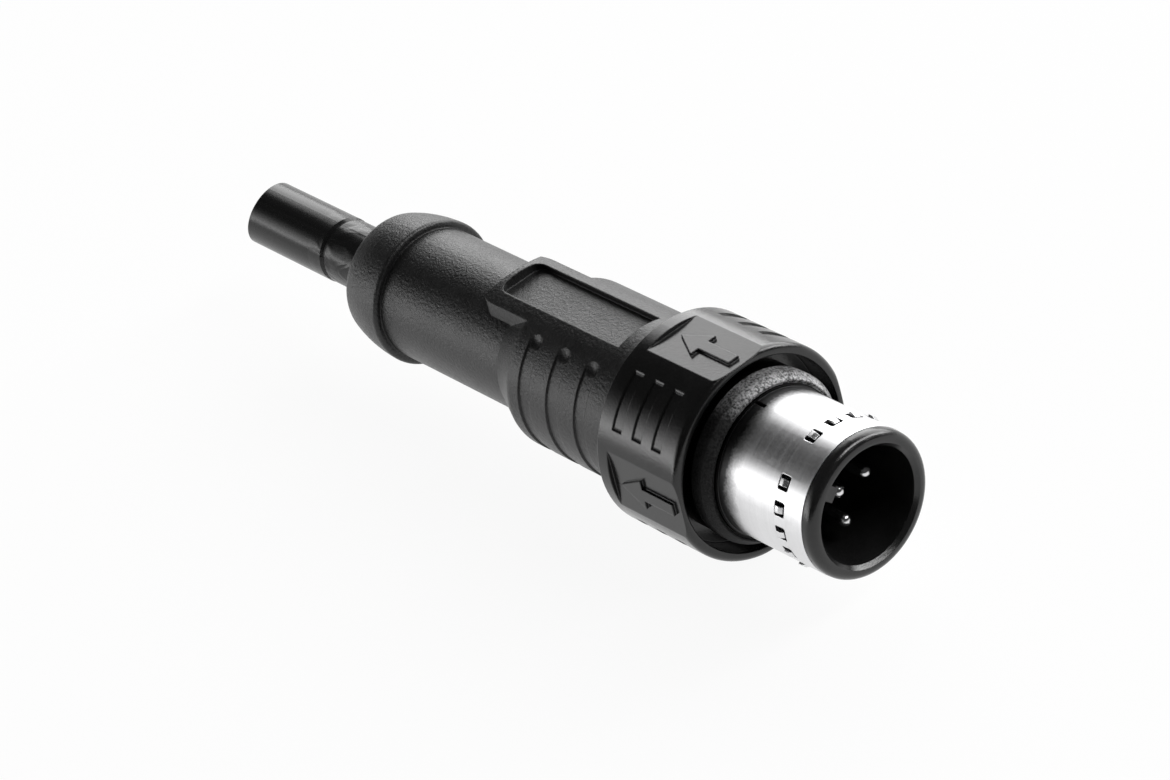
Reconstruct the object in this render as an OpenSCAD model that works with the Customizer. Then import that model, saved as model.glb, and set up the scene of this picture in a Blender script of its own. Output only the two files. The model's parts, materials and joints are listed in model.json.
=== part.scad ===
// Circular push-pull cable plug with five pins, a latching sleeve and a release ring.
// The plug's axis is X, with +X towards the pins. The origin is on that axis at the mating plane,
// where the face seal's front edge meets the socket. +Z is up through the label panel.

/* [Plug face] */
// Mating plane to the front of the nose
plug_reach = 9.4; // [9:0.1:11]
// Outer diameter of the metal sleeve
sleeve_d = 10.8; // [10.6:0.05:11.2]
// Wall of the metal sleeve
sleeve_wall = 0.3; // [0.2:0.05:0.35]
// Length of the moulded nose in front of the sleeve
nose_len = 0.96; // [0.7:0.02:1.2]
// Rounding of the nose's outer edge
nose_round = 0.66; // [0.1:0.02:0.7]
// Diameter of the shroud's bore
shroud_bore_d = 8.5; // [8:0.05:8.6]
// Depth of the shroud's bore
shroud_depth = 8.9; // [8:0.1:9.5]
// Lead-in chamfer at the mouth of the bore
mouth_chamfer = 0.3; // [0.1:0.02:0.32]

/* [Contacts] */
// Diameter of a contact pin
pin_d = 1.0; // [0.8:0.05:1.1]
// Diameter of the circle that the four outer pins stand on
pin_circle_d = 5.0; // [4.6:0.1:5.2]
// Nose front to the pin tips
pin_setback = 2.8; // [2:0.1:4]
// Diameter of a pin's shoulder and wire cup
cup_d = 1.5; // [1.3:0.05:1.7]
// Thickness of the base in front of the pins' shoulders
base_t = 3.5; // [3:0.1:4]
// Width of the coding rib
key_w = 1.1; // [0.8:0.1:1.4]
// Height of the coding rib above the bore's wall
key_h = 1.0; // [0.7:0.05:1.1]

/* [Latch] */
// Nose front to the middle of the row of windows
window_setback = 3.2; // [2.8:0.1:3.6]
// Length of a window along the axis
window_len = 0.95; // [0.8:0.05:1.1]
// Width of a window round the sleeve
window_w = 1.07; // [1:0.01:1.2]
// Corner radius of a window
window_round = 0.14; // [0.05:0.01:0.3]
// Angle between neighbouring windows
window_pitch = 20; // [18:0.5:21]
// Width of a latch tooth
tooth_w = 0.5; // [0.4:0.02:0.62]
// Height of a tooth above the sleeve
tooth_rise = 0.17; // [0.08:0.01:0.2]
// Thickness of the latch strip
strip_t = 0.2; // [0.15:0.01:0.22]
// Distance that a latch segment moves inwards
latch_stroke = 0.25; // [0.2:0.01:0.25]

/* [Seal] */
// Length of the face seal, mating plane to its seat
seal_len = 1.6; // [1.2:0.1:2]
// Thickness of the face seal from the sleeve to its outside
seal_t = 0.9; // [0.7:0.05:1]
// Slope of the seal's front from its inner to its outer edge
seal_slope = 0.55; // [0.3:0.05:0.8]

/* [Release ring] */
// Outer diameter of the release ring
ring_d = 15.9; // [15.6:0.1:17]
// Length of the release ring
ring_len = 8.25; // [8.2:0.05:9]
// Mating plane to the ring's front edge
ring_setback = 1.35; // [0.8:0.05:2]
// Front lip's share of the room between the sleeve and the ring's outside
lip_share = 0.294; // [0.24:0.01:0.34]
// Share of that room taken by the wall round the spring chamber
wall_share = 0.372; // [0.32:0.01:0.4]
// Share of that room taken by the journal that the ring slides on
journal_share = 0.176; // [0.12:0.01:0.2]
// Share of that room taken by the flange behind the seal
flange_share = 0.314; // [0.26:0.01:0.36]
// Length of the flange behind the seal
flange_len = 1.95; // [1.6:0.05:2.2]
// Rounding of the lip's front edge
lip_round = 0.5; // [0.2:0.05:0.6]
// Rounding of the ring's rear edge
rear_round = 0.12; // [0.06:0.02:0.5]
// Thickness of the ring's inner web
web_len = 1.8; // [1.6:0.1:2]
// Distance that the ring is pulled back
ring_travel = 1.4; // [1.2:0.1:1.4]
// Depth of the arrow flats below the ring's outside
flat_depth = 0.35; // [0.2:0.05:0.5]
// Length of the round collar behind the arrow flats
collar_w = 1.1; // [0.8:0.1:1.5]
// Length of an arrow
arrow_len = 5.4; // [4.5:0.1:5.6]
// Width of an arrow's head
arrow_w = 2.4; // [1.8:0.1:2.8]
// Length of an arrow's head
arrow_head = 2.3; // [1.8:0.1:3]
// Width of an arrow's shaft
arrow_shaft = 0.95; // [0.7:0.05:1.2]
// Height of an arrow above its flat
arrow_rise = 0.24; // [0.1:0.02:0.3]
// Number of grip bars in a group
bar_count = 3; // [2:1:3]
// Width of a grip bar along the axis
bar_w = 0.95; // [0.7:0.05:1.2]
// Distance between grip bars
bar_pitch = 2.05; // [1.8:0.05:2.1]
// Depth of a grip bar
bar_depth = 0.11; // [0.08:0.01:0.3]
// Angle that a grip bar runs round the ring
bar_angle = 32.4; // [24:0.4:40]
// Radius that a grip bar's ends run out on
bar_end = 0.25; // [0.15:0.05:0.5]

/* [Return spring] */
// Length of the collar that the spring stands on
collar_len = 0.8; // [0.6:0.05:1]
// Collar's rear face to the ring's rear edge
collar_inset = 0.2; // [0.1:0.05:0.4]
// Length of the shell's tail inside the overmould
tail_len = 3.6; // [3:0.1:4]
// Diameter of the spring's wire
spring_wire = 0.4; // [0.3:0.02:0.44]
// Turns of the spring
spring_turns = 3.5; // [3:0.5:4]

/* [Overmould] */
// Diameter of the grip
grip_d = 12.8; // [12.4:0.1:13.2]
// Length of the grip behind the release ring
grip_len = 11.7; // [11:0.1:13]
// Length of the slope from the grip to the neck
shoulder_len = 2.8; // [2:0.1:3.2]
// Rounding where the grip turns into that slope
shoulder_round = 1.2; // [0.6:0.1:3.2]
// Diameter of the neck
neck_d = 10.1; // [9.6:0.1:10.4]
// Length of the neck from the slope to the rear bulb
neck_len = 13.6; // [11:0.1:16]
// Diameter of the rear bulb
bulb_d = 11.24; // [10.8:0.02:11.6]
// Length of the rear bulb
bulb_len = 5.0; // [4:0.1:6]
// Rounding of the rear bulb's front edge
bulb_lip = 0.3; // [0.1:0.02:0.4]
// Rounding of the rear bulb's end
bulb_round = 1.2; // [0.6:0.1:1.6]
// Angle that the bulb's side has turned inwards where its end rounding starts
bulb_lean = 18; // [10:1:24]
// Number of finger slots on each side of the grip
slot_count = 3; // [1:1:3]
// Width of a finger slot
slot_w = 1.2; // [0.8:0.05:1.6]
// Distance between finger slots
slot_pitch = 3.05; // [2.4:0.05:3.2]
// Depth of a finger slot
slot_depth = 0.12; // [0.08:0.01:0.3]
// Diameter of the dimple at a finger slot's end
dimple_d = 1.3; // [0.9:0.02:1.4]
// Depth of that dimple
dimple_depth = 0.28; // [0.2:0.01:0.4]
// Angle from the label panel to the upper end of a finger slot on the coding rib's side
slot_start = 33; // [31:1:44]
// The same angle on the other side
slot_far_start = 50; // [31:1:60]

/* [Label panel] */
// Width of the raised pad that holds the panel
pad_w = 6.1; // [5.6:0.1:6.4]
// Pad length behind the grip's straight part, at its foot on the neck
pad_tail = 5.7; // [4.8:0.1:6]
// Distance from the pad's foot forward to the crest of its rear slope
pad_slope = 1.0; // [0.2:0.1:1.2]
// Radius of the pad's rear corners
pad_round = 1.5; // [0.8:0.1:2]
// Width of the recessed panel
panel_w = 3.86; // [3:0.02:4.2]
// Length of the recessed panel
panel_len = 13.2; // [10:0.1:13.4]
// Pad's foot to the panel's rear edge
panel_rim = 1.4; // [1.2:0.02:1.8]
// Radius of the panel's rear corners
panel_round = 0.75; // [0.4:0.05:1]
// Height of the panel's floor above the axis
panel_floor = 5.6; // [5.2:0.05:5.7]

/* [Cable] */
// Diameter of the cable
cable_d = 5.14; // [4.6:0.02:5.6]
// Length of the cable that shows behind the bulb, along its middle
cable_len = 15.45; // [10:0.05:40]
// Angle that the cable's cut end leans from square
cut_lean = 19; // [0:1:30]
// Direction of the cut's short side, from the label panel's side towards the coding rib
cut_turn = 22; // [-180:1:180]
// Length of the clamped neck of cable next to the bulb
clamp_len = 5.25; // [3:0.05:7]
// Depth of the clamp's mark in the jacket
clamp_mark = 0.14; // [0.05:0.01:0.2]
// Wall of the cable's jacket
jacket_wall = 0.77; // [0.5:0.01:0.78]
// Diameter of a wire's insulation
wire_d = 1.1; // [0.9:0.02:1.12]
// Diameter of a wire's copper strand
core_d = 0.6; // [0.4:0.02:0.7]
// Diameter of the circle that the four outer wires lie on in the cable
lay_d = 2.4; // [2.3:0.02:2.42]
// Length over which the wires draw together behind the pins
fan_len = 5.5; // [4.5:0.1:6]
// Length of the inner mould's front part behind the shell
waist_len = 6.0; // [5:0.1:7]

/* [Hidden] */

$fn = 96;

// Clearances
seat_gap = 0.02;
slide_gap = 0.05;
guide_gap = 0.08;
latch_gap = 0.2;
tooth_gap = 0.12;
cut = 0.1;

// Radii from the sleeve outwards and inwards
sleeve_r = sleeve_d/2;
sleeve_bore_r = sleeve_r - sleeve_wall;
carrier_r = sleeve_bore_r - slide_gap;
strip_r = sleeve_bore_r - slide_gap;
strip_in_r = strip_r - strip_t;
latch_zone_r = strip_in_r - latch_stroke - slide_gap;
nose_r = sleeve_r - 0.03;
shroud_r = shroud_bore_d/2;
seal_seat_r = sleeve_r + 0.17;
tail_r = sleeve_r;
seal_r = sleeve_r + seal_t;
seal_lip_r = sleeve_r + 0.29;
ring_r = ring_d/2;
room = ring_r - sleeve_r;
journal_r = sleeve_r + journal_share*room;
flange_r = sleeve_r + flange_share*room;
mouth_r = ring_r - lip_share*room;
chamber_r = ring_r - wall_share*room;
web_bore_r = journal_r + slide_gap;
collar_r = chamber_r - guide_gap;
grip_r = grip_d/2;
neck_r = neck_d/2;
bulb_r = bulb_d/2;
cable_r = cable_d/2;
clamp_r = cable_r - 0.05;

// Places along the axis, from the nose to the cable's end
nose_back = plug_reach - nose_len;
sleeve_front = nose_back - 0.04;
base_face = plug_reach - shroud_depth;
pin_tip = plug_reach - pin_setback;
pin_shoulder = base_face - base_t;
key_front = plug_reach - 0.5;
window_x = plug_reach - window_setback;
latch_zone_front = window_x + 1.35;
latch_zone_back = window_x - 1.25;
strip_front = window_x + 1.0;
strip_back = window_x - 0.9;
seat_front = 0.1;
flange_front = -seal_len;
flange_back = flange_front - flange_len;
ring_front = -ring_setback;
ring_back = ring_front - ring_len;
web_front = flange_back - slide_gap;
web_back = web_front - web_len;
collar_back = ring_back + collar_inset;
collar_front = collar_back + collar_len;
spring_len = web_back - collar_front;
tail_back = collar_back - tail_len;
carrier_back = collar_back + 0.4;
cup_back = carrier_back + 0.5;
grip_back = ring_back - grip_len;
shoulder_back = grip_back - shoulder_len;
bulb_front = shoulder_back - neck_len;
bulb_back = bulb_front - bulb_len;
clamp_line = bulb_back - clamp_len;
cable_end = bulb_back - cable_len;
cable_stop = cable_end - cable_r*tan(cut_lean) - 1;
jacket_front = grip_back - 0.7;
pad_back = grip_back - pad_tail;
panel_back = pad_back + panel_rim;

// Latch teeth and tabs
latch_angles = [90, -30, -150];
tooth_steps = [-2, -1, 0, 1, 2];
tooth_back = window_x - window_len/2 + latch_gap + seat_gap;
tooth_front = window_x + window_len/2 - tooth_gap;
tooth_r = sleeve_r + tooth_rise;
strip_angle = 4*window_pitch + 12;
leg_angle = 24;
tab_angle = 18;
tab_len = 0.4;
cam_land = 0.5;
cam_len = web_len - cam_land;
tab_front = web_back + tab_len;
tab_r = web_bore_r + latch_stroke*(1 - tab_len/cam_len) - 0.07;

// Wires: where they leave the pins, spread together and enter the jacket
pin_angles = [0, 90, 180, 270];
key_angle = 45;
fan_front = carrier_back - 1.5;
fan_back = fan_front - fan_len;
insulation_front = cup_back - 0.7;
cup_bore_len = 2.5;
mould_waist = tail_back - waist_len;

// A solid whose own Z is the plug's axis, with its own X up
module along_axis() {
    rotate([0, 90, 0]) rotate([0, 0, 180]) children();
}

// Points on an arc, for outlines
function arc(centre, radius, from, to, steps = 8) =
    [for (i = [0:steps])
        let (a = from + (to - from)*i/steps)
        centre + radius*[cos(a), sin(a)]];

// A straight tube section between two heights
module band(inner, outer, low, high, start = 0, angle = 360) {
    rotate([0, 0, start])
        rotate_extrude(angle = angle)
            translate([inner, low]) square([outer - inner, high - low]);
}

// A rectangle with rounded corners, from its centre
module round_rect(length, width, radius) {
    square([length - 2*radius, width], center = true);
    square([length, width - 2*radius], center = true);
    for (sx = [-1, 1], sy = [-1, 1])
        translate([sx*(length/2 - radius), sy*(width/2 - radius)]) circle(r = radius, $fn = 32);
}

// A plan outline raised towards the label side: its X runs back along the axis
module raise(low, high) {
    translate([low, 0, 0]) rotate([0, 90, 0]) linear_extrude(high - low) children();
}

// A straight rod along the axis
module rod(place, low, high, radius) {
    translate([place, 0, low]) cylinder(r = radius, h = high - low, $fn = 32);
}

// A bent rod in the XZ plane round a centre given as radius and place on the axis
module bend(centre, turn_r, from, angle, radius) {
    translate([centre[0], 0, centre[1]]) rotate([90, 0, 0]) rotate([0, 0, from])
        rotate_extrude(angle = angle) translate([turn_r, 0]) circle(r = radius, $fn = 32);
}

// The route of an outer wire, from the pin's cup to the cable's end. The bends are drawn a little
// thinner than the straight runs, and lap into them.
module wire_route(radius, front, back) {
    lay_r = lay_d/2;
    pin_r = pin_circle_d/2;
    turn = 2*atan2(pin_r - lay_r, fan_len);
    turn_r = fan_len/2/sin(turn);
    lap = 1;
    rod(pin_r, fan_front, front, radius);
    bend([pin_r - turn_r, fan_front], turn_r, -turn - lap, turn + 2*lap, radius - seat_gap);
    bend([lay_r + turn_r, fan_back], turn_r, 180 - turn - lap, turn + 2*lap, radius - 2*seat_gap);
    rod(lay_r, back, fan_back, radius);
}

// One of the five wire routes: the fifth runs straight down the middle
module wire_path(index, radius, front, back) {
    if (index < 4) rotate([0, 0, pin_angles[index]]) wire_route(radius, front, back);
    else rod(0, back, front, radius);
}

// Children at the place of each pin
module at_pin(index) {
    if (index < 4) rotate([0, 0, pin_angles[index]]) translate([pin_circle_d/2, 0, 0]) children();
    else children();
}

// Channels in the carrier that the latch legs run in
module leg_channels() {
    width = leg_angle + 6;
    for (a = latch_angles)
        band(latch_zone_r - slide_gap, sleeve_r, tab_front - tab_len - 0.5, latch_zone_back + cut,
            a - width/2, width);
}

module contact_carrier() {
    outline = concat(
        [[0, carrier_back], [carrier_r, carrier_back], [carrier_r, latch_zone_back],
            [latch_zone_r, latch_zone_back], [latch_zone_r, latch_zone_front],
            [carrier_r, latch_zone_front], [carrier_r, nose_back], [nose_r, nose_back]],
        arc([nose_r - nose_round, plug_reach - nose_round], nose_round, 0, 90),
        [[shroud_r + mouth_chamfer, plug_reach], [shroud_r, plug_reach - mouth_chamfer],
            [shroud_r, base_face], [0, base_face]]);
    color([0.07, 0.07, 0.075]) along_axis() {
        difference() {
            rotate_extrude() polygon(outline);
            leg_channels();
            for (i = [0:4]) at_pin(i) {
                translate([0, 0, pin_shoulder - cut])
                    cylinder(d = pin_d + 2*seat_gap, h = base_t + 2*cut);
                translate([0, 0, carrier_back - cut])
                    cylinder(d = cup_d + 2*seat_gap, h = pin_shoulder - carrier_back + cut);
            }
        }
        rotate([0, 0, key_angle])
            intersection() {
                translate([shroud_r - key_h, -key_w/2, base_face])
                    cube([2*key_h, key_w, key_front - base_face]);
                band(shroud_r - key_h, shroud_r + (latch_zone_r - shroud_r)/2, base_face, key_front,
                    -40, 80);
            }
    }
}

module contact_pin(index) {
    color([0.86, 0.84, 0.78]) along_axis() at_pin(index)
        difference() {
            union() {
                translate([0, 0, pin_shoulder - cut])
                    cylinder(d = pin_d, h = pin_tip - pin_d/2 - pin_shoulder + cut);
                translate([0, 0, pin_tip - pin_d/2]) sphere(d = pin_d);
                translate([0, 0, cup_back]) cylinder(d = cup_d, h = pin_shoulder - cup_back);
            }
            translate([0, 0, cup_back - cut])
                cylinder(d = core_d + 2*slide_gap, h = cup_bore_len + cut);
        }
}

module locking_sleeve() {
    outline = [[sleeve_bore_r, sleeve_front], [sleeve_r, sleeve_front], [sleeve_r, seat_front],
        [seal_seat_r, seat_front], [seal_seat_r, flange_front], [flange_r, flange_front],
        [flange_r, flange_back], [journal_r, flange_back], [journal_r, collar_front],
        [tail_r, collar_front], [tail_r, tail_back], [sleeve_bore_r, tail_back]];
    slot_angle = tab_angle + 5;
    color([0.8, 0.8, 0.82]) along_axis()
        difference() {
            rotate_extrude() polygon(outline);
            for (a = latch_angles) {
                for (i = tooth_steps)
                    rotate([0, 0, a + i*window_pitch])
                        translate([0, 0, window_x]) raise(sleeve_bore_r - sleeve_wall, sleeve_r + cut)
                            round_rect(window_len, window_w, window_round);
                band(sleeve_bore_r - cut, journal_r + cut, tab_front - tab_len - latch_gap,
                    tab_front + latch_gap, a - slot_angle/2, slot_angle);
            }
            band(sleeve_bore_r - cut, sleeve_r + cut, seat_front, seat_front + 0.9, 4, 3);
        }
}

// A spring-steel strip with a row of teeth, a leg to the release ring and a turned-out tab
module latch_segment(angle) {
    tooth_angle = 2*asin(tooth_w/2/tooth_r);
    root_r = strip_in_r - 0.5;
    tooth = [[root_r, tooth_back], [tooth_r, tooth_back], [tooth_r, tooth_back + 0.3],
        [sleeve_r + 0.02, tooth_front], [root_r, tooth_front]];
    color([0.78, 0.78, 0.8]) along_axis()
        difference() {
            rotate([0, 0, angle]) {
                band(root_r, strip_r, strip_back, strip_front, -strip_angle/2, strip_angle);
                band(root_r, strip_r - seat_gap, web_back + tab_len/2, strip_back + cut,
                    -leg_angle/2, leg_angle);
                band(root_r, tab_r, web_back, tab_front, -tab_angle/2, tab_angle);
                for (i = tooth_steps)
                    rotate([0, 0, i*window_pitch - tooth_angle/2])
                        rotate_extrude(angle = tooth_angle) polygon(tooth);
            }
            translate([0, 0, web_back - cut])
                cylinder(r = strip_in_r, h = strip_front - web_back + 2*cut);
        }
}

module face_seal() {
    inner_r = seal_seat_r + seat_gap;
    lip = 0.12;
    outline = concat(
        [[inner_r, flange_front], [seal_r, flange_front]],
        arc([seal_r - lip, -seal_slope - lip], lip, 0, 50, 4),
        arc([seal_lip_r + lip, -lip], lip, 50, 160, 6),
        [[inner_r, seat_front - 0.2]]);
    color([0.2, 0.2, 0.2]) along_axis() rotate_extrude() polygon(outline);
}

// Plan of an arrow with its tip at a place on the axis and pointing back: X runs back
module arrow_plan(tip) {
    w = arrow_w/2;
    s = arrow_shaft/2;
    polygon([[-tip, 0], [-tip - arrow_head, w], [-tip - arrow_head, s], [-tip - arrow_len, s],
        [-tip - arrow_len, -s], [-tip - arrow_head, -s], [-tip - arrow_head, -w]]);
}

// One grip bar: a shallow band with ends that run out on a small radius
module grip_bar() {
    floor_r = ring_r - bar_depth;
    end_rise = bar_depth - seat_gap;
    end_run = sqrt(2*bar_end*end_rise - end_rise*end_rise);
    half = bar_angle/2 - asin(end_run/ring_r);
    band(floor_r, ring_r + cut, -bar_w/2, bar_w/2, -half, 2*half);
    for (a = [-half, half])
        rotate([0, 0, a]) translate([floor_r + seat_gap + bar_end, 0, -bar_w/2])
            cylinder(r = bar_end, h = bar_w, $fn = 32);
}

module release_ring() {
    flat_r = ring_r - flat_depth;
    flat_back = ring_back + collar_w;
    flat_len = ring_front - flat_back;
    arrow_back = flat_back + (flat_len - arrow_len)/2 + 0.15;
    first_bar = (ring_front + ring_back)/2 - 0.2 - bar_pitch*(bar_count - 1)/2;
    outline = concat(
        [[web_bore_r, web_front], [mouth_r, web_front]],
        arc([mouth_r + 0.12, ring_front - 0.12], 0.12, 180, 90, 3),
        arc([ring_r - lip_round, ring_front - lip_round], lip_round, 90, 0),
        arc([ring_r - rear_round, ring_back + rear_round], rear_round, 0, -90),
        [[chamber_r, ring_back], [chamber_r, web_back], [web_bore_r + latch_stroke, web_back],
            [web_bore_r, web_back + cam_len]]);
    color([0.08, 0.08, 0.085]) along_axis() {
        difference() {
            rotate_extrude() polygon(outline);
            for (a = pin_angles) rotate([0, 0, a]) {
                translate([flat_r, -ring_r/2, flat_back]) cube([ring_r, ring_r, flat_len + cut]);
                for (i = [0:bar_count - 1])
                    translate([0, 0, first_bar + i*bar_pitch]) rotate([0, 0, 45]) grip_bar();
            }
        }
        for (a = pin_angles) rotate([0, 0, a])
            raise(flat_r - cut, flat_r + arrow_rise) arrow_plan(arrow_back);
    }
}

// A wire of eight sides swept along a coil whose end turns lie flat
module return_spring() {
    wire_r = spring_wire/2;
    coil_r = (collar_r + flange_r)/2;
    sides = 8;
    steps = round(24*spring_turns);
    flat = 0.5;
    low = collar_front + wire_r + seat_gap;
    rise = spring_len - spring_wire - 2*seat_gap;
    function place(turn) =
        low + rise*min(1, max(0, (turn - flat)/(spring_turns - 2*flat)));
    points = [for (i = [0:steps], k = [0:sides - 1])
        let (turn = spring_turns*i/steps, a = 360*turn, b = 360*k/sides, r = coil_r + wire_r*cos(b))
        [r*cos(a), r*sin(a), place(turn) + wire_r*sin(b)]];
    skin = [for (i = [0:steps - 1], k = [0:sides - 1])
        let (n = (k + 1) % sides)
        [i*sides + k, i*sides + n, (i + 1)*sides + n, (i + 1)*sides + k]];
    ends = [[for (k = [0:sides - 1]) sides - 1 - k], [for (k = [0:sides - 1]) steps*sides + k]];
    color([0.7, 0.7, 0.72]) along_axis()
        polyhedron(points = points, faces = concat(skin, ends), convexity = 6);
}

module stop_collar() {
    color([0.75, 0.75, 0.77]) along_axis()
        band(tail_r + seat_gap, collar_r, collar_back, collar_front);
}

// Side of the inner mould behind the shell, as radius and place on the axis, grown by a gap
function mould_side(gap) =
    [[neck_r - 1 + gap, tail_back - gap], [neck_r - 1.3 + gap, mould_waist],
        [cable_r + 0.5 + gap, jacket_front - gap]];

module inner_mould() {
    outline = concat([[0, carrier_back], [carrier_r, carrier_back], [carrier_r, tail_back]],
        mould_side(0), [[0, jacket_front]]);
    color([0.5, 0.5, 0.48]) along_axis()
        difference() {
            rotate_extrude() polygon(outline);
            for (i = [0:4])
                wire_path(i, wire_d/2 + seat_gap, carrier_back + cut, jacket_front - cut);
        }
}

// The pad's plan outline, square in front and round-cornered behind: X runs back along the axis
module pad_plan(front, back, width, radius) {
    square_len = back - front - radius;
    translate([front, -width/2]) square([square_len, width]);
    translate([front + square_len, -width/2 + radius]) square([radius, width - 2*radius]);
    for (s = [-1, 1]) translate([back - radius, s*(width/2 - radius)]) circle(r = radius, $fn = 48);
}

// One finger slot: a shallow band round the side with a dimple at each end
module finger_slot() {
    end_turn = asin(dimple_d/2/grip_r);
    floor_r = grip_r - slot_depth;
    dimple_r = (dimple_d*dimple_d/4 + dimple_depth*dimple_depth)/2/dimple_depth;
    sides = [[slot_start, 180 - slot_start], [180 + slot_far_start, 360 - slot_far_start]];
    for (ends = sides) {
        from = ends[0] + end_turn;
        to = ends[1] - end_turn;
        band(floor_r, grip_r + cut, -slot_w/2, slot_w/2, from, to - from);
        for (a = [from, to])
            rotate([0, 0, a]) translate([grip_r - dimple_depth + dimple_r, 0, 0])
                sphere(r = dimple_r, $fn = 48);
    }
}

module overmould() {
    side_r = (bulb_len - bulb_round*(1 - sin(bulb_lean)))/sin(bulb_lean);
    shoulder = atan2(grip_r - neck_r, shoulder_len);
    bulb_outline = concat(
        arc([bulb_r - bulb_lip, bulb_front - bulb_lip], bulb_lip, 90, 0, 6),
        arc([bulb_r - side_r, bulb_front], side_r, -asin(1.2*bulb_lip/side_r), -bulb_lean),
        arc([bulb_r - side_r + (side_r - bulb_round)*cos(bulb_lean),
            bulb_front - (side_r - bulb_round)*sin(bulb_lean)], bulb_round, -bulb_lean, -90));
    mould = mould_side(seat_gap);
    outline = concat(
        [[tail_r + seat_gap, collar_back], [grip_r, collar_back]],
        arc([grip_r - shoulder_round, grip_back + shoulder_round*tan(shoulder/2)], shoulder_round,
            0, -shoulder, 6),
        [[neck_r, shoulder_back], [neck_r, bulb_front]],
        bulb_outline,
        [[clamp_r + seat_gap, bulb_back], [clamp_r + seat_gap, jacket_front - seat_gap],
            mould[2], mould[1], mould[0], [tail_r + seat_gap, tail_back - seat_gap]]);
    first_slot = grip_back + 1.8;
    color([0.09, 0.09, 0.095]) along_axis()
        difference() {
            union() {
                rotate_extrude() polygon(outline);
                difference() {
                    intersection() {
                        translate([0, 0, pad_back - cut])
                            cylinder(r = grip_r - seat_gap, h = collar_back - pad_back);
                        raise(neck_r - 0.7, grip_r + cut)
                            pad_plan(-grip_back - 1, -pad_back, pad_w, pad_round);
                    }
                    translate([neck_r, 0, pad_back]) rotate([0, -atan2(pad_slope, grip_r - neck_r), 0])
                        translate([-grip_r, -grip_r, -grip_d]) cube(grip_d);
                }
            }
            raise(panel_floor, grip_r + cut)
                pad_plan(-panel_back - panel_len, -panel_back, panel_w, panel_round);
            for (i = [0:slot_count - 1]) translate([0, 0, first_slot + i*slot_pitch]) finger_slot();
        }
}

// The space behind the cable's slanted cut
module beyond_cut() {
    room = 4*cable_d;
    translate([0, 0, cable_end]) rotate([0, 0, cut_turn]) rotate([0, -cut_lean, 0])
        translate([-room/2, -room/2, -room]) cube(room);
}

module cable_jacket() {
    mark_len = 0.55;
    outline = [[cable_r - jacket_wall, cable_stop], [cable_r, cable_stop],
        [cable_r, clamp_line - mark_len], [cable_r - clamp_mark, clamp_line - mark_len/2],
        [clamp_r, clamp_line], [clamp_r, jacket_front], [cable_r - jacket_wall, jacket_front]];
    color([0.07, 0.07, 0.075]) along_axis()
        difference() {
            rotate_extrude() polygon(outline);
            beyond_cut();
        }
}

module wire(index, tint) {
    color(tint) along_axis()
        difference() {
            wire_path(index, wire_d/2, insulation_front, cable_stop);
            wire_path(index, core_d/2 + seat_gap, insulation_front + cut, cable_stop - cut);
            beyond_cut();
        }
}

module conductor(index) {
    color([0.72, 0.45, 0.3]) along_axis()
        difference() {
            wire_path(index, core_d/2, cup_back + cup_bore_len - cut, cable_stop);
            beyond_cut();
        }
}

contact_carrier();
contact_pin(0);  // pin_1
contact_pin(1);  // pin_2
contact_pin(2);  // pin_3
contact_pin(3);  // pin_4
contact_pin(4);  // pin_5
locking_sleeve();
latch_segment(latch_angles[0]);  // latch_segment_1
latch_segment(latch_angles[1]);  // latch_segment_2
latch_segment(latch_angles[2]);  // latch_segment_3
face_seal();
release_ring();
return_spring();
stop_collar();
overmould();
inner_mould();
cable_jacket();
wire(0, [0.35, 0.2, 0.12]);  // wire_brown
wire(1, [0.9, 0.9, 0.88]);  // wire_white
wire(2, [0.12, 0.25, 0.6]);  // wire_blue
wire(3, [0.08, 0.08, 0.08]);  // wire_black
wire(4, [0.5, 0.5, 0.5]);  // wire_grey
conductor(0);  // conductor_1
conductor(1);  // conductor_2
conductor(2);  // conductor_3
conductor(3);  // conductor_4
conductor(4);  // conductor_5
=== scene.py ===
"""A circular push-pull cable plug: its finishes, return spring, floor, light and camera.

Lengths are in metres, in the plug's own frame: +X towards the pins, +Z up through the label panel.
"""
import json
import math

import bpy
from mathutils import Matrix, Quaternion, Vector


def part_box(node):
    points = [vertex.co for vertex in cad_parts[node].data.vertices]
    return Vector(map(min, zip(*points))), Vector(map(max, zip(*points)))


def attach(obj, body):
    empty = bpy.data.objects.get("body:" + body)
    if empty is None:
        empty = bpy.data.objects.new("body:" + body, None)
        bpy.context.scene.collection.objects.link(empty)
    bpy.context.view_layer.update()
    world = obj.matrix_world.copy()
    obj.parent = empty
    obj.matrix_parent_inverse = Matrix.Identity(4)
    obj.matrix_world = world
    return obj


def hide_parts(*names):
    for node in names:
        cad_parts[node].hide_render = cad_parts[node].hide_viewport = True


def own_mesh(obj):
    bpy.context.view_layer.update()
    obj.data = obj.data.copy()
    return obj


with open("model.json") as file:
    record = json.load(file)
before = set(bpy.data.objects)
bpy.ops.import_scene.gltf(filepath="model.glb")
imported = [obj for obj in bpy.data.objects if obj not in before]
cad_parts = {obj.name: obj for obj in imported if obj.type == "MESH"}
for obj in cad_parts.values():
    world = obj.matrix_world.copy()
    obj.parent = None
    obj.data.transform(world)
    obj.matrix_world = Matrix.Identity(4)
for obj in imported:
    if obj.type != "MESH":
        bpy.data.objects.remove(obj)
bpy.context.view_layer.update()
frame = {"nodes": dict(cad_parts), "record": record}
nodes = frame["nodes"]
scene = bpy.context.scene
scene.view_settings.view_transform = "Standard"

MM = 0.001


def named(rows, name):
    """The row of one of the frame's lists that has this name."""
    return next(row for row in rows if row["name"] == name)


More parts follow.
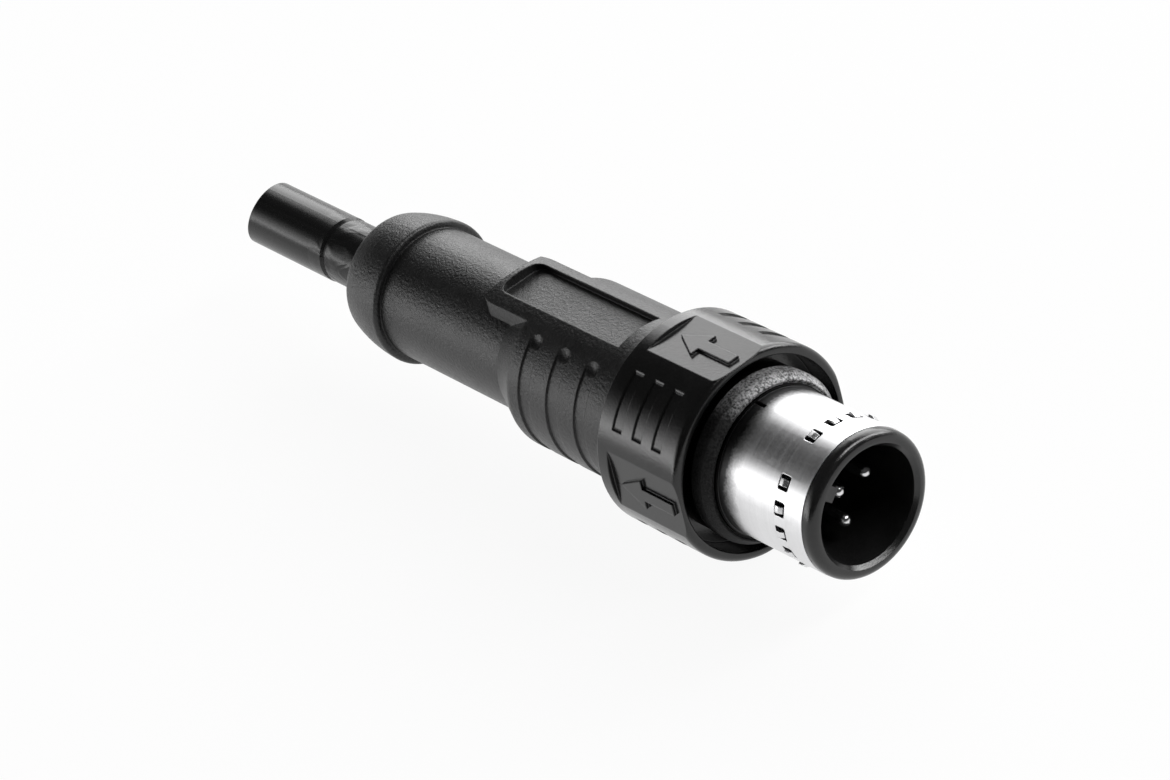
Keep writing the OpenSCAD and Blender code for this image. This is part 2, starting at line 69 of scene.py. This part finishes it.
# Sizes that the frame gives: three radii, and the rear end of the bulb that holds the cable
SLEEVE_R = named(frame["record"]["mounts"], "plug_sleeve")["dims"]["r_mm"] * MM
SEAL_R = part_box("face_seal")[1].z
RING_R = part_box("release_ring")[1].z
BULB_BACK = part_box("overmould")[0].x

# Camera at the photograph's place: its turn round Z, tilt from straight down and roll, in degrees
CAMERA_PLACE = Vector((0.204294, -0.142445, 0.179125))
CAMERA_TURN = 57.717
CAMERA_TILT = 55.76
CAMERA_ROLL = -15.295
SENSOR_IN_MM = 36.0
LENS_IN_MM = 138.4615
NEAR_CLIP = 0.01
FAR_CLIP = 20.0

# Most of a noise texture's values lie between these
NOISE_LOW = 0.3
NOISE_HIGH = 0.7

# Grain of the mouldings, in cells to the metre
COARSE_GRAIN = 420.0
GRIP_GRAIN = 4200.0
FINE_GRAIN = 6500.0

# Cells to the metre along X, Y and Z, for lines that run along the plug
STRIP_LINES = (900.0, 4000.0, 4000.0)
JACKET_LINES = (30.0, 1400.0, 1400.0)
WIRE_LINES = (60.0, 2600.0, 2600.0)
STRAND_LINES = (1500.0, 5200.0, 5200.0)

# Distances from the axis at which a finish changes, or its painted shade and painted light
SLEEVE_BRIGHT_R = SLEEVE_R + 0.05 * MM
SLEEVE_GAP_SHADE_R = SLEEVE_R + 0.1 * MM
LATCH_SHADE_FULL_R = SLEEVE_R - 0.1 * MM
LATCH_SHADE_GONE_R = SLEEVE_R + 0.02 * MM
RIM_SHADE_START_R = SEAL_R - 0.3 * MM
RIM_SHADE_FULL_R = SEAL_R + 0.1 * MM

# Heights towards the seal's upper side between which its painted light sets in
PAINTED_LIGHT_FAINT_UP = 3.0 * MM
PAINTED_LIGHT_FULL_UP = 5.0 * MM

# Ends of the painted shade on the sleeve, in place of the dark reflection of the seal and ring, from
# the seal's front edge at X = 0, and how far noise draws them back
SLEEVE_SHADE_FULL_X = 1.4 * MM
SLEEVE_SHADE_GONE_X = 2.7 * MM
SLEEVE_SHADE_BY_PITS = 0.5 * MM
SLEEVE_SHADE_BY_PATCHES = 0.8 * MM

# The cable is dented up to the first place behind the bulb, and even from the second
DENTS_FULL_X = BULB_BACK - 5.1 * MM
DENTS_GONE_X = BULB_BACK - 7.3 * MM

# Dark and light shade of each wire's insulation, and of the copper
WIRE_COLOURS = {
    "wire_brown": ((0.13, 0.06, 0.03), (0.26, 0.13, 0.07)),
    "wire_white": ((0.72, 0.72, 0.7), (0.86, 0.86, 0.84)),
    "wire_blue": ((0.03, 0.08, 0.3), (0.06, 0.15, 0.46)),
    "wire_black": ((0.012, 0.012, 0.012), (0.035, 0.035, 0.035)),
    "wire_grey": ((0.25, 0.25, 0.25), (0.4, 0.4, 0.4)),
}
COPPER_DARK = (0.42, 0.2, 0.11)
COPPER_LIGHT = (0.78, 0.45, 0.3)

# Floor, just below the ring, and the share of plain white in what the camera and reflections see of it
FLOOR_HALF = 3.0
FLOOR_HEIGHT = -RING_R - 0.15 * MM
FLOOR_GREY = 0.8
FLOOR_WHITE_SHARE = 0.93

# Light of the world, and the place on the axis that the lamps face
WORLD_STRENGTH = 0.05
LAMP_TARGET = Vector((-0.02, 0.0, 0.0))


def make_camera():
    """The camera that sees the plug as the photograph does."""
    data = bpy.data.cameras.new("camera")
    data.sensor_width = SENSOR_IN_MM
    data.lens = LENS_IN_MM
    data.clip_start = NEAR_CLIP
    data.clip_end = FAR_CLIP
    camera = bpy.data.objects.new("camera", data)
    turn = Matrix.Rotation(math.radians(CAMERA_TURN), 4, "Z")
    tilt = Matrix.Rotation(math.radians(CAMERA_TILT), 4, "X")
    roll = Matrix.Rotation(math.radians(CAMERA_ROLL), 4, "Z")
    camera.matrix_world = Matrix.Translation(CAMERA_PLACE) @ turn @ tilt @ roll
    scene.collection.objects.link(camera)
    scene.camera = camera


class Graph:
    """A new node material, with short ways to add and join its nodes."""

    def __init__(self, name):
        self.material = bpy.data.materials.new(name)
        self.material.use_nodes = True
        self.tree = self.material.node_tree
        self.shader = self.tree.nodes["Principled BSDF"]
        self.place = self.add("ShaderNodeTexCoord").outputs["Object"]

    def add(self, kind, **values):
        node = self.tree.nodes.new(kind)
        for key, value in values.items():
            setattr(node, key, value)
        return node

    def link(self, out, into):
        self.tree.links.new(out, into)

    def noise(self, scale=1.0, detail=2.0, rough=0.5, vector=None, distortion=0.0):
        """Noise at the place on the plug, or at a stretched one."""
        node = self.add("ShaderNodeTexNoise")
        node.inputs["Scale"].default_value = scale
        node.inputs["Detail"].default_value = detail
        node.inputs["Roughness"].default_value = rough
        node.inputs["Distortion"].default_value = distortion
        self.link(vector or self.place, node.inputs["Vector"])
        return node.outputs["Fac"]

    def stretch(self, scale):
        """The place on the plug, scaled along each axis."""
        node = self.add("ShaderNodeMapping")
        node.inputs["Scale"].default_value = scale
        self.link(self.place, node.inputs["Vector"])
        return node.outputs["Vector"]

    def along(self, axis):
        """The place along X, Y or Z."""
        node = self.add("ShaderNodeSeparateXYZ")
        self.link(self.place, node.inputs[0])
        return node.outputs[axis]

    def off_axis(self):
        """Distance from the plug's axis."""
        node = self.add("ShaderNodeVectorMath", operation="LENGTH")
        self.link(self.stretch((0.0, 1.0, 1.0)), node.inputs[0])
        return node.outputs["Value"]

    def spread(self, value, low, high, out_low, out_high):
        """The range low to high, spread over out_low to out_high and held at its ends."""
        node = self.add("ShaderNodeMapRange")
        node.inputs["From Min"].default_value = low
        node.inputs["From Max"].default_value = high
        node.inputs["To Min"].default_value = out_low
        node.inputs["To Max"].default_value = out_high
        self.link(value, node.inputs["Value"])
        return node.outputs["Result"]

    def spread_noise(self, value, out_low=0.0, out_high=1.0):
        """The usual values of a noise, spread over out_low to out_high."""
        return self.spread(value, NOISE_LOW, NOISE_HIGH, out_low, out_high)

    def maths(self, kind, a, b):
        """One math node on two items, each a number or another node's output."""
        node = self.add("ShaderNodeMath", operation=kind)
        for socket, item in zip(node.inputs, (a, b)):
            if isinstance(item, (int, float)):
                socket.default_value = item
            else:
                self.link(item, socket)
        return node.outputs["Value"]

    def weigh(self, first, *others):
        """The total of pairs, each a value and its factor."""
        total = self.maths("MULTIPLY", *first)
        for pair in others:
            total = self.maths("ADD", total, self.maths("MULTIPLY", *pair))
        return total

    def tint(self, value, low, high):
        """A colour between two fixed ones."""
        node = self.add("ShaderNodeMix", data_type="RGBA")
        node.inputs["A"].default_value = (*low, 1.0)
        node.inputs["B"].default_value = (*high, 1.0)
        self.link(value, node.inputs["Factor"])
        return node.outputs["Result"]

    def blend(self, value, low, high):
        """A colour between two that vary."""
        node = self.add("ShaderNodeMix", data_type="RGBA")
        self.link(value, node.inputs["Factor"])
        self.link(low, node.inputs["A"])
        self.link(high, node.inputs["B"])
        return node.outputs["Result"]

    def soft_edges(self, radius):
        """Rounded normals at sharp edges, and how much each point is part of an edge."""
        bevel = self.add("ShaderNodeBevel", samples=6)
        bevel.inputs["Radius"].default_value = radius
        flat = self.add("ShaderNodeNewGeometry").outputs["Normal"]
        dot = self.add("ShaderNodeVectorMath", operation="DOT_PRODUCT")
        self.link(bevel.outputs["Normal"], dot.inputs[0])
        self.link(flat, dot.inputs[1])
        return bevel.outputs["Normal"], self.spread(dot.outputs["Value"], 1.0, 0.8, 0.0, 1.0)

    def bump(self, height, strength, distance, normal=None):
        """A normal made uneven by a height."""
        node = self.add("ShaderNodeBump")
        node.inputs["Strength"].default_value = strength
        node.inputs["Distance"].default_value = distance
        self.link(height, node.inputs["Height"])
        if normal is not None:
            self.link(normal, node.inputs["Normal"])
        return node.outputs["Normal"]

    def into(self, **sockets):
        """Links outputs to the shader's sockets, named with _ for a space."""
        for name, out in sockets.items():
            self.link(out, self.shader.inputs[name.replace("_", " ")])

    def constant(self, **values):
        """Sets numbers on the shader's sockets, named with _ for a space."""
        for name, value in values.items():
            self.shader.inputs[name.replace("_", " ")].default_value = value


def grey(level):
    """A grey with a trace of blue."""
    return (level, level, level * 1.01)


def moulded(name, level, rough, grain=GRIP_GRAIN, depth=0.05 * MM, strength=0.5, radius=0.18 * MM):
    """Moulding: eroded grain, slight blotches, and softened edges painted a little lighter, as wear and
    as a painted highlight.
    """
    graph = Graph(name)
    fine = graph.noise(grain, detail=3.0, rough=0.65)
    coarse = graph.noise(COARSE_GRAIN, detail=3.0, rough=0.55)
    both = graph.weigh((fine, 0.6), (coarse, 0.4))
    base = graph.tint(graph.spread_noise(both), grey(level * 0.6), grey(level * 1.6))
    edge_normal, edge = graph.soft_edges(radius)
    # Painted highlight and wear: edges a little lighter than the face
    edge_wear_and_highlight = graph.tint(fine, grey(level * 1.5), grey(level * 2.2))
    graph.into(Base_Color=graph.blend(graph.maths("MULTIPLY", edge, 0.2), base, edge_wear_and_highlight))
    graph.into(Roughness=graph.spread_noise(both, rough - 0.07, rough + 0.07))
    graph.into(Normal=graph.bump(fine, strength, depth, edge_normal))
    return graph.material


def sleeve_painted_shade(graph, pits):
    """How dark the sleeve is painted: painted shade where it meets the seal, in place of the dark
    reflection of the seal and ring, and painted shade in the gap outside its bright face.
    """
    patches = graph.noise(700.0)
    uneven = graph.maths("ADD", graph.along("X"), graph.maths("MULTIPLY", pits, SLEEVE_SHADE_BY_PITS))
    uneven = graph.maths("ADD", uneven, graph.maths("MULTIPLY", patches, SLEEVE_SHADE_BY_PATCHES))
    # Painted shade: darker towards the seal, in place of the dark reflection of the seal and ring
    seal_side_shade = graph.spread(uneven, SLEEVE_SHADE_FULL_X, SLEEVE_SHADE_GONE_X, 0.95, 0.0)
    # Painted shade: black outside the sleeve's bright face, for the shade in the gap at the seal
    gap_shade = graph.spread(graph.off_axis(), SLEEVE_BRIGHT_R, SLEEVE_GAP_SHADE_R, 0.0, 1.0)
    return graph.maths("MAXIMUM", seal_side_shade, gap_shade)


def plated(name, level, rough, lines=5200.0, radius=0.08 * MM, shaded_at_seal=False):
    """Plate over a turned face: fine rings round the axis, tiny pits and a painted highlight on its
    edges.
    """
    graph = Graph(name)
    rings = graph.noise(rough=0.6, vector=graph.stretch((lines, 60.0, 60.0)))
    pits = graph.noise(5200.0)
    both = graph.weigh((rings, 0.55), (pits, 0.45))
    edge_normal, edge = graph.soft_edges(radius)
    base = graph.tint(graph.spread_noise(both), grey(level * 0.93), grey(level * 1.04))
    # Painted highlight: edges a little lighter than the face
    bright = graph.tint(pits, grey(level * 1.04), grey(level * 1.1))
    finish = graph.blend(edge, base, bright)
    # Painted shade where the sleeve meets the seal
    if shaded_at_seal:
        painted_dark = graph.tint(pits, grey(0.006), grey(0.012))
        finish = graph.blend(sleeve_painted_shade(graph, pits), finish, painted_dark)
    graph.into(Base_Color=finish)
    graph.into(Roughness=graph.spread_noise(both, rough - 0.05, rough + 0.07))
    graph.into(Normal=graph.bump(both, 0.15, 0.006 * MM, edge_normal))
    graph.constant(Metallic=1.0)
    return graph.material


def latch_steel(name, level, rough):
    """Spring strip painted black where it lies inside the sleeve, as the shade in its windows, and
    bright where the teeth stand out of the sleeve.
    """
    graph = Graph(name)
    lines = graph.noise(rough=0.6, vector=graph.stretch(STRIP_LINES))
    # Painted shade: black where the strip lies inside the sleeve, for the shade seen through the
    # windows
    outside_painted_shade = graph.spread(graph.off_axis(), LATCH_SHADE_FULL_R, LATCH_SHADE_GONE_R, 0.0, 1.0)
    painted_dark = graph.tint(lines, grey(0.008), grey(0.02))
    bright = graph.tint(lines, grey(level * 0.85), grey(level * 1.1))
    edge_normal, _ = graph.soft_edges(0.08 * MM)
    graph.into(Base_Color=graph.blend(outside_painted_shade, painted_dark, bright))
    graph.into(Roughness=graph.spread_noise(lines, rough - 0.05, rough + 0.08))
    graph.into(Normal=graph.bump(lines, 0.3, 0.01 * MM, edge_normal))
    graph.constant(Metallic=1.0)
    return graph.material


def drawn_steel(name, level, rough):
    """Drawn spring wire: fine lines, and a painted highlight that makes its edges a little brighter."""
    graph = Graph(name)
    lines = graph.noise(rough=0.6, vector=graph.stretch(STRIP_LINES))
    edge_normal, edge = graph.soft_edges(0.05 * MM)
    base = graph.tint(lines, grey(level * 0.85), grey(level * 1.1))
    # Painted highlight: edges a little brighter than the face
    bright = graph.tint(lines, grey(level), grey(level * 1.15))
    graph.into(Base_Color=graph.blend(edge, base, bright))
    graph.into(Roughness=graph.spread_noise(lines, rough - 0.05, rough + 0.08))
    graph.into(Normal=graph.bump(lines, 0.3, 0.01 * MM, edge_normal))
    graph.constant(Metallic=1.0)
    return graph.material


def seal_rubber(name):
    """Dark sponge rubber with pale speckle, shown only on its upper side, 30 degrees round towards +Y,
    as painted light, and fading to painted shade at its outer rim.
    """
    graph = Graph(name)
    fine = graph.noise(5600.0, rough=0.6)
    patches = graph.noise(900.0)
    both = graph.weigh((fine, 0.75), (patches, 0.25))
    speckle = graph.spread(both, 0.4, 0.6, 0.1, 1.0)
    upward = graph.weigh((graph.along("Z"), 0.87), (graph.along("Y"), 0.5))
    # Painted light: the pale speckle shows only on the seal's upper side, where light falls
    painted_lit_side = graph.spread(upward, PAINTED_LIGHT_FAINT_UP, PAINTED_LIGHT_FULL_UP, 0.05, 1.0)
    # Painted shade: the speckle fades towards the seal's outer rim, under the ring's lip
    painted_rim_shade = graph.spread(graph.off_axis(), RIM_SHADE_START_R, RIM_SHADE_FULL_R, 1.0, 0.25)
    speckle_and_painted_light = graph.maths("MULTIPLY", graph.maths("MULTIPLY", speckle, painted_lit_side), painted_rim_shade)
    graph.into(Base_Color=graph.tint(speckle_and_painted_light, grey(0.005), grey(0.5)))
    graph.into(Roughness=graph.spread_noise(both, 0.5, 0.75))
    graph.into(Normal=graph.bump(fine, 0.8, 0.06 * MM))
    graph.constant(Specular_IOR_Level=0.15)
    return graph.material


def cable_skin(name):
    """Extruded jacket: long faint lines, a soft gloss, and dents where the mould's clamp held it."""
    graph = Graph(name)
    lines = graph.noise(vector=graph.stretch(JACKET_LINES))
    fine = graph.noise(7000.0)
    dents = graph.noise(520.0, vector=graph.stretch((0.6, 1.0, 1.0)), distortion=1.2)
    clamped = graph.spread(graph.along("X"), DENTS_GONE_X, DENTS_FULL_X, 0.0, 1.0)
    height = graph.weigh((lines, 0.08), (fine, 0.04), (graph.maths("MULTIPLY", dents, clamped), 1.4))
    graph.into(Base_Color=graph.tint(graph.spread_noise(lines), grey(0.004), grey(0.008)))
    graph.into(Roughness=graph.spread(graph.maths("ADD", fine, lines), 0.7, 1.3, 0.2, 0.3))
    graph.into(Normal=graph.bump(height, 0.5, 0.22 * MM))
    graph.constant(Specular_IOR_Level=0.28)
    return graph.material


def insulation(name, dark, light):
    """A wire's coloured skin, with faint lines along it."""
    graph = Graph(name)
    lines = graph.noise(vector=graph.stretch(WIRE_LINES))
    graph.into(Base_Color=graph.tint(lines, dark, light))
    graph.into(Roughness=graph.spread_noise(lines, 0.28, 0.42))
    graph.into(Normal=graph.bump(lines, 0.2, 0.03 * MM))
    return graph.material


def copper(name):
    """Bare copper strand, with uneven streaks of light and dark."""
    graph = Graph(name)
    strands = graph.noise(detail=1.0, vector=graph.stretch(STRAND_LINES))
    graph.into(Base_Color=graph.tint(strands, COPPER_DARK, COPPER_LIGHT))
    graph.into(Roughness=graph.spread_noise(strands, 0.22, 0.4))
    graph.into(Normal=graph.bump(strands, 0.6, 0.04 * MM))
    graph.constant(Metallic=1.0)
    return graph.material


def dress():
    """Gives every CAD node its finish. Numbered pieces share one."""
    looks = {
        "contact_carrier": moulded("carrier_black", level=0.009, rough=0.2, grain=FINE_GRAIN,
                                   depth=0.02 * MM, radius=0.08 * MM),
        "locking_sleeve": plated("bright_plate", level=0.77, rough=0.34, shaded_at_seal=True),
        "face_seal": seal_rubber("seal_rubber"),
        "release_ring": moulded("ring_black", level=0.005, rough=0.19, grain=FINE_GRAIN,
                                depth=0.02 * MM, radius=0.13 * MM),
        "return_spring": drawn_steel("spring_steel", level=0.55, rough=0.3),
        "stop_collar": plated("turned_steel", level=0.09, rough=0.34),
        "overmould": moulded("overmould_black", level=0.007, rough=0.38, depth=0.09 * MM, strength=0.6),
        "inner_mould": moulded("inner_grey", level=0.35, rough=0.5),
        "cable_jacket": cable_skin("jacket_black"),
    }
    for name, (dark, light) in WIRE_COLOURS.items():
        looks[name] = insulation(name, dark, light)
    shared = {
        "pin_": plated("contact_plate", level=0.74, rough=0.2, lines=4200.0, radius=0.04 * MM),
        "latch_segment_": latch_steel("latch_steel", level=0.74, rough=0.26),
        "conductor_": copper("copper_strand"),
    }
    for name, obj in nodes.items():
        kind = name.rstrip("0123456789")
        obj.data.materials.clear()
        obj.data.materials.append(shared[kind] if kind in shared else looks[name])


def make_spring():
    """The return spring: a copy of its CAD node, carried with the plug's body, the node itself hidden.
    """
    solid = nodes["return_spring"]
    spring = bpy.data.objects.new("coil_spring", solid.data.copy())
    scene.collection.objects.link(spring)
    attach(spring, "plug_body")
    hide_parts("return_spring")
    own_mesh(spring)


def floor_white():
    """Matt floor that the camera and reflections see as nearly white, with a trace of its shadows."""
    graph = Graph("floor_white")
    graph.constant(Base_Color=(FLOOR_GREY, FLOOR_GREY, FLOOR_GREY, 1.0))
    graph.constant(Roughness=0.9, Specular_IOR_Level=0.0)
    glow = graph.add("ShaderNodeEmission")
    glow.inputs["Strength"].default_value = 1.0
    rays = graph.add("ShaderNodeLightPath").outputs
    seen = graph.maths("MAXIMUM", rays["Is Camera Ray"], rays["Is Glossy Ray"])
    seen = graph.maths("MAXIMUM", seen, rays["Is Transmission Ray"])
    mix = graph.add("ShaderNodeMixShader")
    graph.link(graph.maths("MULTIPLY", seen, FLOOR_WHITE_SHARE), mix.inputs["Fac"])
    graph.link(graph.shader.outputs[0], mix.inputs[1])
    graph.link(glow.outputs[0], mix.inputs[2])
    graph.link(mix.outputs[0], graph.tree.nodes["Material Output"].inputs["Surface"])
    return graph.material


def make_floor():
    """A wide square floor just below the plug."""
    half = FLOOR_HALF
    corners = [(-half, -half, 0.0), (half, -half, 0.0), (half, half, 0.0), (-half, half, 0.0)]
    mesh = bpy.data.meshes.new("floor")
    mesh.from_pydata(corners, [], [(0, 1, 2, 3)])
    mesh.materials.append(floor_white())
    floor = bpy.data.objects.new("floor", mesh)
    floor.location = (0.0, 0.0, FLOOR_HEIGHT)
    scene.collection.objects.link(floor)


def fade_light(tree, full):
    """Makes a lamp even up to the share full of its height, fading from there to its upper edge."""
    place = tree.nodes.new("ShaderNodeNewGeometry").outputs["Parametric"]
    split = tree.nodes.new("ShaderNodeSeparateXYZ")
    tree.links.new(place, split.inputs[0])
    fade = tree.nodes.new("ShaderNodeMapRange")
    fade.inputs["From Min"].default_value = 1.0
    fade.inputs["From Max"].default_value = full
    tree.links.new(split.outputs["Y"], fade.inputs["Value"])
    curve = tree.nodes.new("ShaderNodeMath")
    curve.operation = "POWER"
    curve.inputs[1].default_value = 2.0
    tree.links.new(fade.outputs["Result"], curve.inputs[0])
    tree.links.new(curve.outputs["Value"], tree.nodes["Emission"].inputs["Strength"])


def softbox(name, aim, distance, width, height, watts, full=0.99, roll=0.0):
    """A rectangular lamp in the direction aim from the lamps' target, facing it.

    The roll in degrees turns it in its own plane.
    """
    data = bpy.data.lights.new(name, "AREA")
    data.shape = "RECTANGLE"
    data.size = width
    data.size_y = height
    data.energy = watts
    data.use_nodes = True
    fade_light(data.node_tree, full)
    lamp = bpy.data.objects.new(name, data)
    way = Vector(aim).normalized()
    lamp.location = LAMP_TARGET + way * distance
    lamp.rotation_mode = "QUATERNION"
    turn = Quaternion((0.0, 0.0, 1.0), math.radians(roll))
    lamp.rotation_quaternion = (-way).to_track_quat("-Z", "Y") @ turn
    scene.collection.objects.link(lamp)


def make_light():
    """A dim world, a large lamp behind the plug, one to its left and a strip at the upper right."""
    world = bpy.data.worlds.new("studio")
    world.use_nodes = True
    back = world.node_tree.nodes["Background"]
    back.inputs["Color"].default_value = (1.0, 1.0, 1.0, 1.0)
    back.inputs["Strength"].default_value = WORLD_STRENGTH
    scene.world = world
    softbox("back_softbox", aim=(-0.39, 0.732, 0.555), distance=0.912,
            width=1.25, height=1.035, watts=17.0, full=0.58)
    softbox("left_card", aim=(-0.55, -0.8, 0.25), distance=0.9,
            width=0.9, height=0.56, watts=7.6, full=0.2)
    softbox("strip_softbox", aim=(0.47, 0.66, 0.59), distance=0.9,
            width=1.15, height=0.2, watts=8.4, roll=-45.0)


make_camera()
dress()
make_spring()
make_floor()
make_light()
